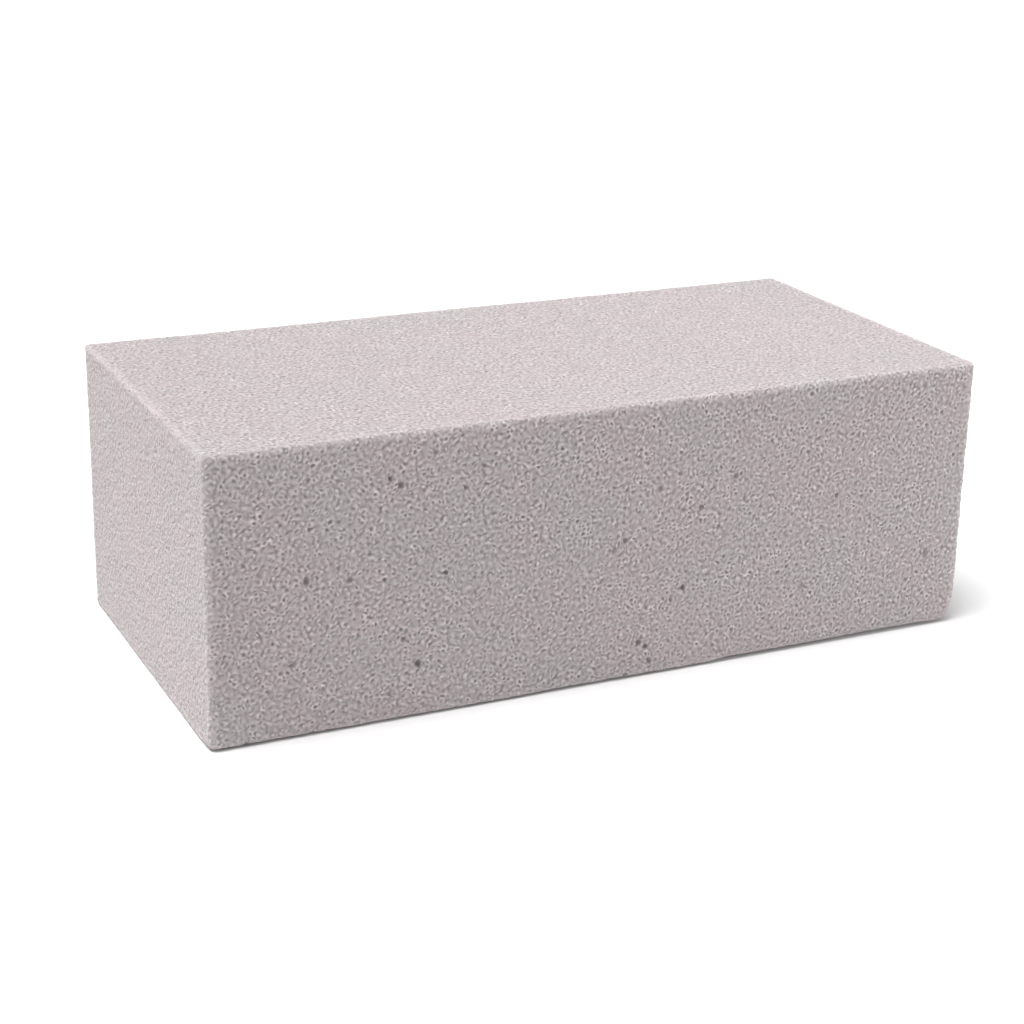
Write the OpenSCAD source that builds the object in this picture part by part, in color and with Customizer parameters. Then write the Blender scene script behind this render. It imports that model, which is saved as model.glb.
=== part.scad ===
// Dry floral foam brick: one block of rigid open-celled foam, cut square on all six sides and
// handled enough for its edges and corners to have softened.
// It stands on its underside, with its length along X, its depth along Y and its height along Z.
// The origin is the middle of the underside.

/* [Block] */
// Length of the brick, end to end
brick_length = 230; // [120:1:480]
// Depth of the brick, front to back
brick_depth = 110; // [50:1:240]
// Height of the brick as it stands
brick_height = 80; // [25:1:120]

/* [Wear] */
// Radius that handling leaves on every edge and corner of the soft foam
edge_radius = 1; // [0.5:0.25:8]

/* [Appearance] */
// Facets around a full circle, where a rounded edge is drawn
edge_facets = 64; // [16:8:128]

/* [Hidden] */

foam_colour = [0.81, 0.77, 0.77];

// Distances between the centres of opposite edge arcs
core_length = brick_length - 2 * edge_radius;
core_depth = brick_depth - 2 * edge_radius;
core_height = brick_height - 2 * edge_radius;

// Rectangle centred on the origin, with its four corners rounded by true arcs
module rounded_rectangle(core_x, core_y, radius) {
    square([core_x + 2 * radius, core_y], center = true);
    square([core_x, core_y + 2 * radius], center = true);
    for (side_x = [-1, 1], side_y = [-1, 1])
        translate([side_x * core_x / 2, side_y * core_y / 2])
            circle(r = radius, $fn = edge_facets);
}

// Bar of that outline, centred on the origin and standing along Z
module rounded_bar(core_x, core_y, radius, length) {
    linear_extrude(height = length, center = true)
        rounded_rectangle(core_x, core_y, radius);
}

// The block is what three crossed bars share, so all six faces stay flat and all twelve edges
// and eight corners are rounded
module foam_brick() {
    color(foam_colour)
        translate([0, 0, brick_height / 2])
            intersection() {
                rounded_bar(core_length, core_depth, edge_radius, brick_height);
                rotate([90, 0, 0])
                    rounded_bar(core_length, core_height, edge_radius, brick_depth);
                rotate([0, 90, 0])
                    rounded_bar(core_height, core_depth, edge_radius, brick_length);
            }
}

foam_brick();
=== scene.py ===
"""Dry floral foam brick.

One block of rigid open-celled foam, sawn square on all six sides. Its skin is made of the cut cells
themselves: every cell is a small bowl with thin walls that it shares with its neighbours, a few blown
pores are larger and deeper, and the edges and corners are rubbed round by handling.
"""
import math

import bmesh
import bpy
import numpy as np
from mathutils import Matrix, Vector


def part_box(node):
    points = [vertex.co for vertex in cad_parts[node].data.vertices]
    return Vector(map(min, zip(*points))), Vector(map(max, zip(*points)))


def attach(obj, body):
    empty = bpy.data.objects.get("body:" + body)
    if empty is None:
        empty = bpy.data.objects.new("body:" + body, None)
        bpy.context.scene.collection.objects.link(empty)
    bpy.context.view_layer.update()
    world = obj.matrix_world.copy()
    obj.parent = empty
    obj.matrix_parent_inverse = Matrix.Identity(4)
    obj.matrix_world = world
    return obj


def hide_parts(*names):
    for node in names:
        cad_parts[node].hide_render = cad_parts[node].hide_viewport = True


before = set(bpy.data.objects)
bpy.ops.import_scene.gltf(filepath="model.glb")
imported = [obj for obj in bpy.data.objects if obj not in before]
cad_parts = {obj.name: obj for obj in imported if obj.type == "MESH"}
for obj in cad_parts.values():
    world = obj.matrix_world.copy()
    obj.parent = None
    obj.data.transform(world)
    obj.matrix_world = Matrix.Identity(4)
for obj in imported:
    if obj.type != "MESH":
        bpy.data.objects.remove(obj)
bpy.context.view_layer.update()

MM = 0.001
NODE = "foam_brick"
SLOT = "dry_foam"

# The brick's box, from the frame, in metres
LOW, HIGH = (np.array(corner, float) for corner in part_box(NODE))
SIZE = HIGH - LOW
MIDDLE = (LOW + HIGH) / 2

# Cut cells
CELL_PITCH = 1.2 * MM             # from one cell to the next
CELL_WANDER = 0.42                # how far a cell strays from its place, as a share of the pitch
BOWL_DEPTH = 0.52                 # usual depth of a cell, as a share of its own half width
BOWL_SPREAD = 0.07                # how much that share falls as a cell's tone rises
BOWL_LIMITS = (0.2, 1.2)          # the least and the most that the share may be
GRAIN_SHARE = (0.42, 1.0, 0.75)   # of depth and tone: on the ends, the long sides, the top and underside
WALL_SHARE = 0.45                 # how much of a cell's half width its sloping wall takes
PORE_WALL_SHARE = 0.6             # how much of that a large pore's wall takes, which is steeper
WALL_FOOT = 0.45                  # depth at the foot of the wall, as a share of the cell's whole depth
WALL_CHIPPING = 0.08 * MM         # how much lower the top of a wall is for each 1 that its tone is lower
WHOLE_TONE = 1.2                  # the tone from which the top of a wall isn't broken down at all

# Rubbed edges and corners
EDGE_RADIUS = 1.9 * MM            # how far from an edge the rubbing starts
EDGE_BLUNTNESS = 4.0              # 2 makes the edge a round one, and more leaves it squarer
WORN_BLUNTNESS = 2.2              # the same, where the brick is worn or knocked
EDGE_UNEVENNESS = 0.35            # how much the radius varies along an edge, as a share of it
EDGE_PATCH = 14 * MM              # length of one rubbed or fresh stretch of an edge
CRUSHED_RADIUS = 5.5 * MM         # radius of the one corner that has been knocked
CRUSHED_REACH = 11 * MM           # how far from that corner the knock is felt
EDGE_BAND = 2.6 * MM              # width of the strip along each edge where the cells are rubbed shut
EDGE_CORE = 0.4                   # the share of that strip, next to the edge, where they are rubbed most
EDGE_FILLING = 0.65               # how much shallower the cells are there
RELIEF_REACH = 10 * MM            # how far from the underside's front edge its worn stretches are felt
FACE_WAVE = 0.10 * MM             # height of the slow waves that the saw left in the faces
FACE_PATCH = 32 * MM              # length of one such wave

# Stretches of the underside's front edge that are worn more than the rest: where each begins and ends,
# from the left end, and how much is added to the radius there, in millimetres
WORN_STRETCHES = [(-8, 46, 0.7), (34, 154, 0.8), (142, 230, 2.6)]
WORN_RAMP = 12                    # how far each stretch takes to come and go, in millimetres

# Larger pores on the front: distance from the left end, height above the underside, half width,
# half height and depth, all in millimetres
FRONT_PORES = [
    (57.5, 15.5, 0.5, 0.9, 1.4), (65.3, 40.0, 0.4, 0.6, 1.2), (26.5, 43.5, 0.5, 0.5, 1.2),
    (49.5, 68.0, 0.4, 0.4, 1.2), (52.5, 65.5, 0.4, 0.4, 1.2), (75.8, 68.0, 0.4, 0.4, 0.9),
    (70.5, 63.0, 0.4, 0.4, 0.8), (62.0, 73.5, 0.4, 0.4, 0.8), (38.3, 42.0, 0.4, 0.6, 0.9),
    (22.3, 21.0, 0.4, 0.4, 0.9), (49.0, 8.0, 0.5, 0.4, 0.9), (53.0, 23.3, 0.4, 0.4, 0.8),
    (118.2, 41.2, 0.4, 0.6, 1.0), (115.2, 39.0, 0.4, 0.4, 0.9), (128.0, 55.0, 0.4, 0.6, 0.9),
    (137.0, 25.2, 0.4, 0.7, 1.2), (133.4, 21.8, 0.4, 0.5, 0.9), (123.5, 10.5, 0.4, 0.6, 1.2),
    (126.0, 9.0, 0.4, 0.5, 1.2), (127.0, 4.5, 0.4, 0.7, 0.9), (119.8, 1.0, 0.5, 0.5, 0.9),
    (152.0, 55.5, 0.4, 0.5, 0.9), (141.5, 48.0, 0.4, 0.6, 0.9), (185.8, 45.7, 0.4, 0.4, 0.9),
    (176.5, 19.5, 0.4, 0.4, 0.9), (218.0, 23.5, 0.4, 0.7, 1.0), (187.5, 12.7, 0.4, 0.4, 0.8),
]
PORES_PER_SQUARE_METRE = 400      # on the back, the right end and the underside
PORE_HALF_WIDTH = (0.35 * MM, 0.60 * MM)
PORE_STRETCH = (0.8, 1.7)         # half height of a pore, as a share of its half width
PORE_DEPTH = (0.8 * MM, 1.2 * MM)
PORE_REACH = 4                    # how far from a pore cells are moved aside, in the pore's own half sizes
PORE_RIM = 2                      # how far out the nearest ones are moved, in the same measure
LEAST_REACH = 0.05                # the least distance that is counted, so that none is divided by zero
PORE_TOP_SHADE = 0.5              # how much painted shade the tops of a pore's walls get, as a share of its floor's
PORE_WALL_SHADE = 0.8             # the same, for the feet of its walls

# Random draws, one stream for each thing that varies
SEEDS = {"cells": 11, "walls": 37, "edges": 41, "waves": 53, "pores": 67, "tones": 79}


def stream(name):
    """The random draws for one thing that varies, the same on each run."""
    return np.random.default_rng(SEEDS[name])


def smoothstep(low, high, x):
    t = np.clip((x - low) / (high - low), 0, 1)
    return t * t * (3 - 2 * t)


def drift(points, patch, name):
    """A slow random value from -1 to 1 at each point, which changes over about one patch."""
    cell = np.floor(points / patch).astype(int)
    part = points / patch - cell
    part = part * part * (3 - 2 * part)
    cell = cell - np.floor(LOW / patch).astype(int) + 1
    table = stream(name).uniform(-1, 1, cell.max(0) + 2)
    total = np.zeros(len(points))
    for corner in np.ndindex(2, 2, 2):
        weight = np.prod(np.where(corner, part, 1 - part), axis=1)
        total += weight * table[tuple((cell + corner).T)]
    return total


# The six sides: the axis that each faces along, which way, and the two axes that span it
SIDES = [(axis, sign, *(other for other in range(3) if other != axis))
         for axis in range(3) for sign in (-1, 1)]
LEFT, RIGHT, FRONT, BACK, UNDERSIDE, TOP = range(6)
RANDOM_PORE_SIDES = (RIGHT, BACK, UNDERSIDE)


def edge_shape(points):
    """The radius and the bluntness that handling has left at each point, more where it was knocked."""
    radius = EDGE_RADIUS * (1 + EDGE_UNEVENNESS * drift(points, EDGE_PATCH, "edges"))
    knocked = np.array([HIGH[0], LOW[1], LOW[2]])
    worn = 1 - smoothstep(0, CRUSHED_REACH, np.linalg.norm(points - knocked, axis=1))
    radius += (CRUSHED_RADIUS - EDGE_RADIUS) * worn
    along = (points[:, 0] - LOW[0]) / MM
    near = 1 - smoothstep(0, RELIEF_REACH, np.linalg.norm((points - LOW)[:, 1:], axis=1))
    for begin, end, extra in WORN_STRETCHES:
        stretch = near * (smoothstep(begin, begin + WORN_RAMP, along)
                          - smoothstep(end - WORN_RAMP, end, along))
        radius += extra * MM * stretch
        worn = np.maximum(worn, stretch)
    return radius[:, None], (EDGE_BLUNTNESS + (WORN_BLUNTNESS - EDGE_BLUNTNESS) * worn)[:, None]


def rubbed(points):
    """Points near the square block's skin carried onto the rubbed skin, and the way out at each."""
    radius, bluntness = edge_shape(points)
    core = np.clip(points, LOW + radius, HIGH - radius)
    offset = (points - core) / radius
    offset /= (np.abs(offset) ** bluntness).sum(axis=1, keepdims=True) ** (1 / bluntness)
    outward = np.sign(offset) * np.abs(offset) ** (bluntness - 1)
    outward /= np.linalg.norm(outward, axis=1, keepdims=True)
    wave = FACE_WAVE * (1 + drift(points, FACE_PATCH, "waves")) / 2
    return core + offset * radius - outward * wave[:, None], outward


def edge_wear(points):
    """How near each point is to an edge of the brick, from 0 on the open faces to 1 on the edge itself."""
    to_side = np.sort(np.minimum(points - LOW, HIGH - points), axis=1)
    return 1 - smoothstep(EDGE_CORE * EDGE_BAND, EDGE_BAND, to_side[:, 1])


def lattice():
    """The cells' first places, on an even lattice over the square block, and the squares between them."""
    counts = np.round(SIZE / CELL_PITCH).astype(int)
    outside = np.ones(counts + 1, bool)
    outside[1:-1, 1:-1, 1:-1] = False
    number = np.full(counts + 1, -1)
    number[outside] = np.arange(outside.sum())
    squares = []
    for axis, sign, *_ in SIDES:
        sheet = np.take(number, counts[axis] if sign > 0 else 0, axis=axis)
        square = np.stack([sheet[:-1, :-1], sheet[1:, :-1], sheet[1:, 1:], sheet[:-1, 1:]], -1)
        square = square.reshape(-1, 4)
        squares.append(square if (sign > 0) != (axis == 1) else square[:, ::-1])
    return LOW + np.argwhere(outside) / counts * SIZE, np.concatenate(squares)


def placed_pores():
    """Every large pore as its side, its centre, its half sizes along the side and its depth."""
    pores = []
    for along, up, half_width, half_height, depth in FRONT_PORES:
        centre = np.array([LOW[0] + along * MM, LOW[1], LOW[2] + up * MM])
        pores.append((FRONT, centre, half_width * MM, half_height * MM, depth * MM))
    draw = stream("pores")
    for side in RANDOM_PORE_SIDES:
        axis, sign, first, second = SIDES[side]
        for _ in range(round(PORES_PER_SQUARE_METRE * SIZE[first] * SIZE[second])):
            centre = np.where(np.arange(3) == axis, HIGH if sign > 0 else LOW, draw.uniform(LOW, HIGH))
            half_width = draw.uniform(*PORE_HALF_WIDTH)
            half_height = half_width * draw.uniform(*PORE_STRETCH)
            pores.append((side, centre, half_width, half_height, draw.uniform(*PORE_DEPTH)))
    return pores


def open_pores(points):
    """Moves the cells aside round each large pore, and returns the depth of each cell that is one."""
    depths = np.zeros(len(points))
    for side, centre, half_width, half_height, depth in placed_pores():
        axis, _, first, second = SIDES[side]
        offset = (points - centre)[:, [first, second]] / (half_width, half_height)
        reach = np.linalg.norm(offset, axis=1)
        reach[np.abs(points[:, axis] - centre[axis]) > CELL_PITCH] = np.inf
        middle = np.argmin(reach)
        if depths[middle] or not np.isfinite(reach[middle]):
            continue
        near = np.flatnonzero(reach < PORE_REACH)
        squeeze = 1 - PORE_RIM / PORE_REACH
        push = (PORE_RIM + reach[near] * squeeze) / np.maximum(reach[near], LEAST_REACH)
        for column, offsets, half in ((first, offset[:, 0], half_width), (second, offset[:, 1], half_height)):
            points[near, column] = centre[column] + offsets[near] * push * half
            points[middle, column] = centre[column]
        depths[middle] = depth
    return depths


def cell_map():
    """The cells' centres, the triangles between neighbouring cells, and the depth of the large pores."""
    points, squares = lattice()
    points = points + stream("cells").uniform(-1, 1, points.shape) * CELL_WANDER * CELL_PITCH
    depths = open_pores(points)
    points, _ = rubbed(points)
    corner = points[squares]
    first_shorter = (np.linalg.norm(corner[:, 0] - corner[:, 2], axis=1)
                     < np.linalg.norm(corner[:, 1] - corner[:, 3], axis=1))[:, None]
    split = np.where(first_shorter, squares[:, [0, 1, 2, 0, 2, 3]], squares[:, [0, 1, 3, 1, 2, 3]])
    mesh = bpy.data.meshes.new("cell_map")
    mesh.from_pydata(points, [], split.reshape(-1, 3).tolist())
    net = bmesh.new()
    net.from_mesh(mesh)
    bmesh.ops.beautify_fill(net, faces=net.faces, edges=net.edges, method="ANGLE")
    net.to_mesh(mesh)
    net.free()
    triangles = np.empty(len(mesh.polygons) * 3, np.int32)
    mesh.polygons.foreach_get("vertices", triangles)
    bpy.data.meshes.remove(mesh)
    return points, triangles.reshape(-1, 3), depths


def across(triangles, cells):
    """For each corner of each triangle, the same cell's corner in the next triangle round that cell."""
    start = triangles.ravel().astype(np.int64)
    end = np.roll(triangles, -1, axis=1).ravel().astype(np.int64)
    before = (np.arange(len(triangles))[:, None] * 3 + [2, 0, 1]).ravel()
    order = np.argsort(start * cells + end)
    twin = order[np.searchsorted((start * cells + end)[order], end * cells + start)]
    return twin[before]


def foam_skin():
    """Points, four-sided walls, three-sided floors, each face's cell and what each point is like."""
    centres, triangles, pore_depths = cell_map()
    cells, joints = len(centres), len(triangles)
    after = across(triangles, cells)
    cell = triangles.ravel()
    joint = np.arange(joints * 3) // 3

    # The walls meet where three cells do, and each cell's middle is the mean of its own meeting points
    tops, _ = rubbed(centres[triangles].mean(axis=1))
    share = np.bincount(cell, minlength=cells)[:, None]
    middles = np.stack([np.bincount(cell, tops[joint, axis], cells) for axis in range(3)], -1) / share
    middles, outward = rubbed(middles)
    half_width = np.bincount(cell, np.linalg.norm(tops[joint] - middles[cell], axis=1), cells) / share[:, 0]

    # The tone of each point is set against its neighbours', so that light and dark specks alternate
    loose, top_loose = stream("tones").normal(0, 1, cells), stream("walls").normal(0, 1, joints)
    tone = loose - np.bincount(cell, top_loose[joint], cells) / share[:, 0]
    top_tone = top_loose - loose[triangles].mean(axis=1)

    depth = half_width * np.clip(BOWL_DEPTH - BOWL_SPREAD * tone, *BOWL_LIMITS)
    grain_share = np.array(GRAIN_SHARE)[np.argmax(np.abs(outward), axis=1)]
    depth *= grain_share
    depth *= 1 - EDGE_FILLING * edge_wear(middles)
    is_pore = pore_depths > 0
    depth = np.where(is_pore, pore_depths, depth)
    _, top_outward = rubbed(tops)
    chips = WALL_CHIPPING * np.maximum(WHOLE_TONE - top_tone, 0)
    tops = tops - top_outward * chips[:, None]

    foot_share = np.where(is_pore, WALL_SHARE * PORE_WALL_SHARE, WALL_SHARE)[cell][:, None]
    feet = tops[joint] * (1 - foot_share) + middles[cell] * foot_share
    feet -= outward[cell] * (depth[cell] * WALL_FOOT)[:, None]
    floors = middles - outward * depth[:, None]
    points = np.concatenate([tops, feet, floors])

    corner = np.arange(joints * 3)
    walls = np.stack([joint, joint[after], joints + after, joints + corner], -1)
    beds = np.stack([joints + corner, joints + after, joints * 4 + cell], -1)

    # Each cell's depth share, which the colour uses as painted shade in its pit: darker the deeper
    pit_shade = depth / half_width
    tone *= grain_share
    top_tone *= grain_share[triangles].mean(axis=1)
    # The large pores get painted shade, darker the deeper they are
    pore_shade = (pore_depths / pore_depths.max()) ** 2
    top_pore_shade = PORE_TOP_SHADE * pore_shade[triangles].mean(axis=1)
    finish = {
        # Painted shade from the cell's depth, darker the deeper
        "pit_shade": np.concatenate([np.zeros(joints), WALL_FOOT * pit_shade[cell], pit_shade]),
        "tone": np.concatenate([top_tone, (tone[cell] + top_tone[joint]) / 2, tone]),
        # Painted shade in the large pores
        "pore": np.concatenate([top_pore_shade, PORE_WALL_SHADE * pore_shade[cell], pore_shade]),
        # Painted highlight, lighter near each edge
        "edge_highlight": np.concatenate([edge_wear(tops), edge_wear(tops)[joint], edge_wear(middles)]),
    }
    return points, walls, beds, cell, outward, finish


# Gap between the sides on the flat map that the finish is baked on
CHART_GAP = 5 * MM


def charts():
    """The map's lower corner for each side and the size of the whole map, in metres."""
    length, depth, height = SIZE
    rows = [(depth, (UNDERSIDE, LEFT)), (depth, (TOP, RIGHT)), (height, (FRONT,)), (height, (BACK,))]
    corners, widest, up = {}, 0, CHART_GAP
    for row_height, sides in rows:
        right = CHART_GAP
        for side in sides:
            corners[side] = (right, up)
            right += (height if side in (LEFT, RIGHT) else length) + CHART_GAP
        widest = max(widest, right)
        up += row_height + CHART_GAP
    return corners, (widest, up)


def unfold(mesh, points, corner_points, corner_sides):
    """Lays each side flat on its own rectangle of the map, so that it bakes with no seams inside it."""
    corners, (map_width, map_height) = charts()
    place = np.empty((len(corner_points), 2), np.float32)
    for side, (axis, _, first, second) in enumerate(SIDES):
        here = corner_sides == side
        where = points[corner_points[here]] - LOW
        flat = where[:, [second, first]] if axis == 0 else where[:, [first, second]]
        place[here] = (flat + corners[side]) / (map_width, map_height)
    layer = mesh.uv_layers.new(name="OFBake")
    layer.uv.foreach_set("vector", place.ravel())


def build_brick():
    """The block of foam as one mesh, with its map and with what each point is like."""
    points, walls, beds, cell, outward, finish = foam_skin()
    mesh = bpy.data.meshes.new("foam_block")
    mesh.vertices.add(len(points))
    mesh.vertices.foreach_set("co", points.astype(np.float32).ravel())
    corner_points = np.concatenate([walls.ravel(), beds.ravel()])
    sizes = np.concatenate([np.full(len(walls), 4), np.full(len(beds), 3)])
    mesh.loops.add(len(corner_points))
    mesh.loops.foreach_set("vertex_index", corner_points.astype(np.int32))
    mesh.polygons.add(len(sizes))
    mesh.polygons.foreach_set("loop_start", np.concatenate([[0], np.cumsum(sizes)[:-1]]).astype(np.int32))
    mesh.polygons.foreach_set("loop_total", sizes.astype(np.int32))
    mesh.polygons.foreach_set("use_smooth", np.ones(len(sizes), bool))
    mesh.update(calc_edges=True)
    mesh.validate()

    axis = np.argmax(np.abs(outward), axis=1)
    side_of_cell = axis * 2 + (np.take_along_axis(outward, axis[:, None], 1)[:, 0] > 0)
    corner_cells = np.concatenate([np.repeat(cell, 4), np.repeat(cell, 3)])
    unfold(mesh, points, corner_points, side_of_cell[corner_cells])
    for name, values in finish.items():
        mesh.attributes.new(name, "FLOAT", "POINT").data.foreach_set("value", values.astype(np.float32))
    brick = bpy.data.objects.new("foam_block", mesh)
    bpy.context.scene.collection.objects.link(brick)
    return brick


class Wire:
    """A shader value that can be used in Python sums. Each operator adds one Math node."""

    def __init__(self, recipe, socket):
        self.recipe, self.socket = recipe, socket

    def math(self, operation, *values, clamp=False):
        settings = {"operation": operation, "use_clamp": clamp}
        return self.recipe.node("ShaderNodeMath", settings, dict(enumerate(values))).out(0)

    def __add__(self, other):
        return self.math("ADD", self, other)

    def __sub__(self, other):
        return self.math("SUBTRACT", self, other)

    def __rsub__(self, other):
        return self.math("SUBTRACT", other, self)

    def __mul__(self, other):
        return self.math("MULTIPLY", self, other)

    __radd__ = __add__
    __rmul__ = __mul__

    def clamped(self):
        return self.math("ADD", self, 0.0, clamp=True)


class Node:
    def __init__(self, recipe, made):
        self.recipe, self.made = recipe, made

    def out(self, name):
        return Wire(self.recipe, self.made.outputs[name])


class Recipe:
    """The nodes of a material's finish or of the sky, and what is needed to add more of them."""

    def __init__(self, owner):
        self.owner = owner
        owner.use_nodes = True
        self.tree = owner.node_tree
        self.tree.nodes.clear()

    def node(self, kind, settings=None, sockets=None):
        """Adds a node: its settings first, then the values or the wires of its sockets."""
        made = self.tree.nodes.new(kind)
        for name, value in (settings or {}).items():
            setattr(made, name, value)
        for name, value in (sockets or {}).items():
            if isinstance(value, Wire):
                self.tree.links.new(value.socket, made.inputs[name])
            else:
                made.inputs[name].default_value = value
        return Node(self, made)

    def attribute(self, name):
        return self.node("ShaderNodeAttribute", {"attribute_name": name}).out("Fac")

    def noise(self, size, detail=2.0, roughness=0.5):
        """A random pattern in the piece's own space whose grains are about size across, from 0 to 1."""
        place = self.node("ShaderNodeTexCoord").out("Object")
        sockets = {"Vector": place, "Scale": 1 / size, "Detail": detail, "Roughness": roughness}
        return self.node("ShaderNodeTexNoise", {"noise_dimensions": "3D"}, sockets).out("Fac")

    def mix(self, share, first, second):
        settings = {"data_type": "RGBA", "blend_type": "MIX", "clamp_factor": True}
        return self.node("ShaderNodeMix", settings, {0: share, 6: first, 7: second}).out(2)

    def finish(self, sockets):
        shader = self.node("ShaderNodeBsdfPrincipled", None, sockets)
        self.node("ShaderNodeOutputMaterial", None, {"Surface": shader.out("BSDF")})
        return self.owner


# Foam colours, linear: two wall colours, the dark colour that the foam's colour leans towards, which also
# serves as painted shade in the cells' pits, and the painted shade in the large pores
PINK_WALL = (0.735, 0.640, 0.658, 1.0)
GREY_WALL = (0.685, 0.660, 0.656, 1.0)
DARK_AND_PIT_SHADE_COLOUR = (0.250, 0.220, 0.224, 1.0)
PORE_SHADE_COLOUR = (0.110, 0.100, 0.100, 1.0)

# How far the foam's colour goes from the wall colour towards the dark colour: usually, and how much each
# thing changes it. A cell's depth adds painted shade in its pit, and nearness to an edge takes it away as a
# painted highlight
USUAL_SHADE = 0.54
PAINTED_PIT_SHADE = 0.14
SHADE_OF_TONE = 0.20
SHADE_OF_EDGE_HIGHLIGHT = 0.08
SHADE_OF_GRAIN = 0.15
PAINTED_PORE_SHADE = 0.55          # the same, from there to the painted shade in the large pores

# Where the wall is pink and where it is grey: small specks and wide clouds, their sizes and strengths
SPECK_SIZE = 2 * MM
SPECK_STRENGTH = 3.0
CLOUD_SIZE = 22 * MM
CLOUD_STRENGTH = 1.6
BLUSH_START = 1.8             # taken off their sum, so that about half of the skin is pink

# Powdery grain, a little finer than the cells
GRAIN_SIZE = 1.1 * MM
GRAIN_HEIGHT = 1.0 * MM
ROUGHNESS = 0.86
ROUGHNESS_OF_GRAIN = 0.2


def dry_foam():
    recipe = Recipe(bpy.data.materials.new(SLOT))
    # painted shade in the cells' pits, from their depth
    pit_shade = recipe.attribute("pit_shade")
    tone = recipe.attribute("tone")
    # painted shade in the large pores
    pore = recipe.attribute("pore")
    # painted highlight along the edges
    edge_highlight = recipe.attribute("edge_highlight")
    grain = recipe.noise(GRAIN_SIZE, detail=1.0, roughness=0.6) - 0.5
    specks = recipe.noise(SPECK_SIZE, detail=3.0, roughness=0.7) * SPECK_STRENGTH
    clouds = recipe.noise(CLOUD_SIZE, detail=1.0) * CLOUD_STRENGTH
    blush = (specks + clouds - BLUSH_START).clamped()
    wall = recipe.mix(blush, GREY_WALL, PINK_WALL)
    # Painted shade deepens the colour in the cells' pits, and a painted highlight lightens it near the edges;
    # tone and grain are random specks
    shade = (pit_shade * PAINTED_PIT_SHADE - tone * SHADE_OF_TONE - edge_highlight * SHADE_OF_EDGE_HIGHLIGHT
             + grain * SHADE_OF_GRAIN + USUAL_SHADE).clamped()
    colour = recipe.mix(shade, wall, DARK_AND_PIT_SHADE_COLOUR)
    # Painted shade in the large pores, from their depth
    colour = recipe.mix(pore * PAINTED_PORE_SHADE, colour, PORE_SHADE_COLOUR)
    bump = recipe.node("ShaderNodeBump", None, {"Strength": 1.0, "Distance": GRAIN_HEIGHT, "Height": grain})
    return recipe.finish({
        "Base Color": colour,
        "Roughness": (ROUGHNESS + ROUGHNESS_OF_GRAIN * grain).clamped(),
        "Normal": bump.out("Normal"),
        "Diffuse Roughness": 1.0,
        "Specular IOR Level": 0.25,
    })


# Studio
FLOOR_SIZE = 60.0
FLOOR_COLOUR = (0.77, 0.77, 0.77, 1.0)
SKY_STRENGTH = 0.48           # of the sky overhead
HORIZON_STRENGTH = 1.05       # of the band along the horizon, which stands in for a white backdrop
HORIZON_BAND = (0.20, 0.36)   # where the band starts to fade and where it has, as the sine of the elevation


def floor_paint():
    recipe = Recipe(bpy.data.materials.new("floor_white"))
    return recipe.finish({"Base Color": FLOOR_COLOUR, "Roughness": 0.9, "Specular IOR Level": 0.0})


def build_floor():
    mesh = bpy.data.meshes.new("floor")
    half = FLOOR_SIZE / 2
    corners = [(-half, -half, LOW[2]), (half, -half, LOW[2]), (half, half, LOW[2]), (-half, half, LOW[2])]
    mesh.from_pydata(corners, [], [(0, 1, 2, 3)])
    mesh.materials.append(floor_paint())
    floor = bpy.data.objects.new("floor", mesh)
    bpy.context.scene.collection.objects.link(floor)


def direction(azimuth, elevation):
    """The way from the brick to a place at that azimuth, counted from the front, and elevation."""
    return Vector((math.sin(azimuth) * math.cos(elevation),
                   -math.cos(azimuth) * math.cos(elevation),
                   math.sin(elevation)))


def lamp(name, kind, azimuth, elevation, distance, **settings):
    """A lamp that looks at the brick from that azimuth and elevation, in degrees."""
    light = bpy.data.lights.new(name, kind)
    for setting, value in settings.items():
        setattr(light, setting, value)
    way = direction(math.radians(azimuth), math.radians(elevation))
    holder = bpy.data.objects.new(name, light)
    holder.location = Vector(MIDDLE) + way * distance
    holder.rotation_mode = "QUATERNION"
    holder.rotation_quaternion = way.to_track_quat("Z", "Y")
    bpy.context.scene.collection.objects.link(holder)


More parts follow.
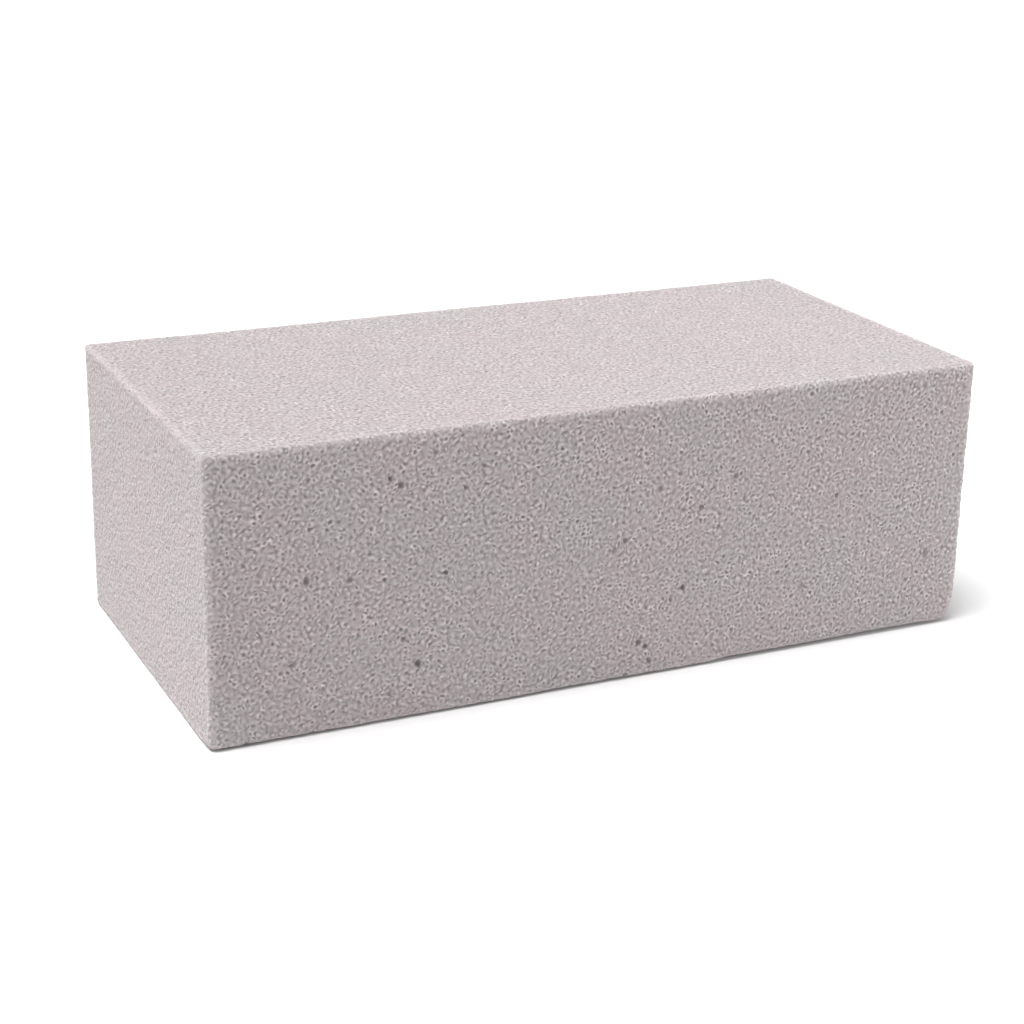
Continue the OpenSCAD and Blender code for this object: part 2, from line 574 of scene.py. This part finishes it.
def light_studio():
    world = bpy.data.worlds.new("studio")
    bpy.context.scene.world = world
    recipe = Recipe(world)
    way = recipe.node("ShaderNodeTexCoord").out("Generated")
    height = recipe.node("ShaderNodeSeparateXYZ", None, {"Vector": way}).out("Z")
    band = {"From Min": HORIZON_BAND[0], "From Max": HORIZON_BAND[1],
            "To Min": HORIZON_STRENGTH, "To Max": SKY_STRENGTH, "Value": height}
    strength = recipe.node("ShaderNodeMapRange", {"interpolation_type": "SMOOTHSTEP"}, band).out("Result")
    sky = recipe.node("ShaderNodeBackground", None, {"Color": (1.0, 1.0, 1.0, 1.0), "Strength": strength})
    recipe.node("ShaderNodeOutputWorld", None, {"Surface": sky.out("Background")})
    lamp("key", "SUN", azimuth=-84, elevation=72, distance=1.2, energy=3.95, angle=math.radians(35))
    lamp("fill", "AREA", azimuth=58, elevation=3, distance=0.45, energy=0.5, shape="DISK", size=0.14)


# Camera: a longish lens, slightly rolled, from the front and left and a little above
VIEW_AZIMUTH = math.radians(-25.69)
VIEW_ELEVATION = math.radians(19.85)
VIEW_ROLL = math.radians(1.24)
VIEW_DISTANCE = 0.6265
VIEW_OFFSET = (4.4 * MM, 7.8 * MM)   # how far right of and above the picture's middle the brick's middle is
LENS = 75.48


def place_camera():
    back = direction(VIEW_AZIMUTH, VIEW_ELEVATION)
    right = Vector((0, 0, 1)).cross(back).normalized()
    up = back.cross(right)
    turn = Matrix.Rotation(VIEW_ROLL, 3, back)
    right, up = turn @ right, turn @ up
    data = bpy.data.cameras.new("camera")
    data.lens = LENS
    camera = bpy.data.objects.new("camera", data)
    spot = Vector(MIDDLE) + back * VIEW_DISTANCE - right * VIEW_OFFSET[0] - up * VIEW_OFFSET[1]
    camera.matrix_world = Matrix.Translation(spot) @ Matrix((right, up, back)).transposed().to_4x4()
    bpy.context.scene.collection.objects.link(camera)
    bpy.context.scene.camera = camera


bpy.context.scene.view_settings.view_transform = "Standard"
place_camera()
light_studio()
build_floor()

brick = build_brick()
brick.data.materials.append(dry_foam())
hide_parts(NODE)
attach(brick, "root")
